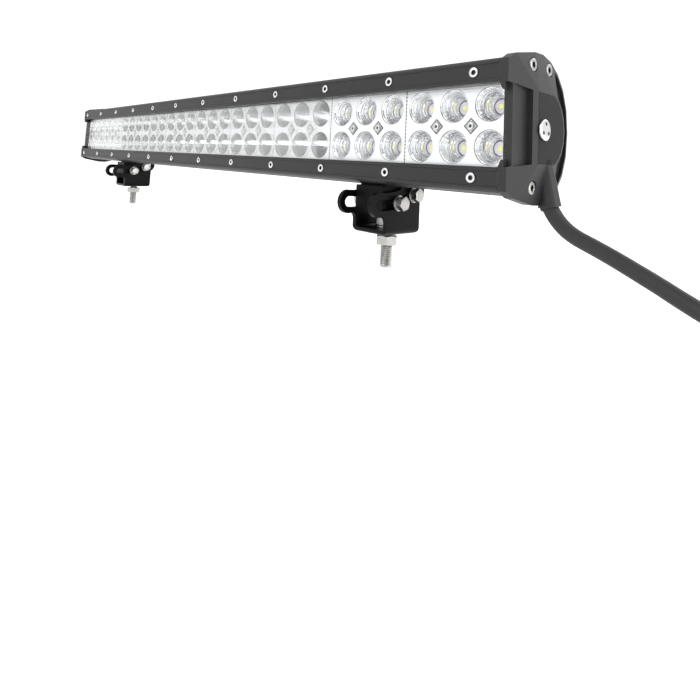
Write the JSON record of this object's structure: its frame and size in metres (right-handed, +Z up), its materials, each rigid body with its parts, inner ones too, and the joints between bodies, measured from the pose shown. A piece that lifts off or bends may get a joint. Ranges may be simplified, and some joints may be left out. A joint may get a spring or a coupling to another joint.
{
  "type": "led light bar",
  "caption": "Straight double-row LED light bar for a vehicle, with a clear lens, finned housing, end caps, a power lead and two feet that slide along it and tilt.",
  "frame": {"origin": "midway between the two feet, on the plane of their brackets' undersides, in line with the two stud bolts", "axes": "+X along the bar towards its cable end, -Y the way the light shines, +Z up"},
  "size_m": [0.956, 0.0702, 0.1295],
  "materials": {
    "housing_coat": "satin charcoal powder coat on extruded aluminium",
    "cap_coat": "satin dark charcoal powder coat on die-cast aluminium",
    "block_coat": "semi-gloss black coat",
    "bracket_paint": "semi-gloss black paint on bent steel plate",
    "reflector_chrome": "bright vacuum-metallised plastic",
    "lens_clear": "clear polished polycarbonate",
    "led_board_white": "white solder mask, yellow LED chips",
    "driver_board_green": "green solder mask",
    "seal_rubber": "matte black silicone rubber",
    "cord_jacket": "satin black rubber jacket",
    "plug_plastic": "matte black plastic",
    "stainless": "bright stainless steel"
  },
  "bodies": {
    "bracket_right": {"bracket_right": "bracket_paint", "stud_bolt_right": "stainless", "stud_washer_right": "stainless", "stud_nut_right": "stainless"},
    "foot_right": {"foot_block_right": "block_coat", "tilt_bolt_right_outer_1": "stainless", "tilt_bolt_right_outer_2": "stainless", "tilt_bolt_right_inner_1": "stainless", "tilt_bolt_right_inner_2": "stainless"},
    "lamp": {"housing": "housing_coat", "bezel_top": "housing_coat", "bezel_bottom": "housing_coat", "lens": "lens_clear", "lens_seal": "seal_rubber", "reflector_1": "reflector_chrome", "reflector_2": "reflector_chrome", "reflector_3": "reflector_chrome", "reflector_4": "reflector_chrome", "reflector_5": "reflector_chrome", "reflector_6": "reflector_chrome", "reflector_7": "reflector_chrome", "reflector_8": "reflector_chrome", "reflector_9": "reflector_chrome", "reflector_10": "reflector_chrome", "led_board_1": "led_board_white", "led_board_2": "led_board_white", "end_cap_right": "cap_coat", "end_cap_seal_right": "seal_rubber", "end_cap_screw_right_1": "stainless", "end_cap_screw_right_2": "stainless", "end_cap_screw_right_3": "stainless", "end_cap_left": "cap_coat", "end_cap_seal_left": "seal_rubber", "end_cap_screw_left_1": "stainless", "end_cap_screw_left_2": "stainless", "end_cap_screw_left_3": "stainless", "driver_board": "driver_board_green", "breather_vent": "stainless", "cord_gland": "seal_rubber", "power_cord": "cord_jacket", "power_plug": "plug_plastic"},
    "foot_left": {"foot_block_left": "block_coat", "tilt_bolt_left_outer_1": "stainless", "tilt_bolt_left_outer_2": "stainless", "tilt_bolt_left_inner_1": "stainless", "tilt_bolt_left_inner_2": "stainless"},
    "bracket_left": {"bracket_left": "bracket_paint", "stud_bolt_left": "stainless", "stud_washer_left": "stainless", "stud_nut_left": "stainless"}
  },
  "joints": [
    {"name": "tilt", "type": "hinge", "parent": "bracket_right", "child": "foot_right", "pos_m": [0.222, -0.0198, 0.0789], "axis": [-1, 0, 0], "range_deg": [-4, 16]},
    {"name": "slide_right_foot", "type": "slide", "parent": "foot_right", "child": "lamp", "axis": [1, 0, 0], "range_m": [-0.06, 0.06]},
    {"name": "slide_left_foot", "type": "slide", "parent": "lamp", "child": "foot_left", "axis": [1, 0, 0], "range_m": [-0.06, 0.06]},
    {"name": "tilt_left", "type": "hinge", "parent": "foot_left", "child": "bracket_left", "pos_m": [-0.222, -0.0198, 0.0789], "axis": [-1, 0, 0], "range_deg": [-16, 4]}
  ],
  "couplings": [
    {"joint": "tilt_left", "follows": "tilt", "ratio": -1}
  ]
}
